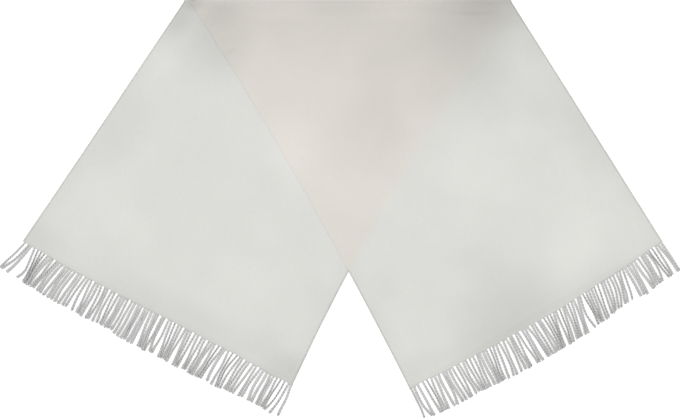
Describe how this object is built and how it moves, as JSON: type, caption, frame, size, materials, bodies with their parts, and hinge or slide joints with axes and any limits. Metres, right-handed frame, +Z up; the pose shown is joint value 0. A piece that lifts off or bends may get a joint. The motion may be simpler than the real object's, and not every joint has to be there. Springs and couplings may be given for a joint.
{
  "type": "fringed woven scarf laid folded",
  "caption": "Wide woven scarf laid flat, folded once so that its legs cross and spread, with a fringe of twisted strands along each end.",
  "frame": {"origin": "middle of the bounding box's underside, on the surface that the scarf lies on", "axes": "+X from the lower leg's side to the upper leg's side, +Y towards the folded edge, +Z up, out of the cloth"},
  "size_m": [1.6694, 1.0242, 0.0152],
  "materials": {
    "woven_cloth": "soft off-white woven wool blend, matte with a faint nap",
    "fringe_yarn": "loosely twisted off-white yarn, matte"
  },
  "bodies": {
    "root": {"woven_body": "woven_cloth", "fringe_left": "fringe_yarn", "fringe_right": "fringe_yarn"}
  },
  "joints": []
}
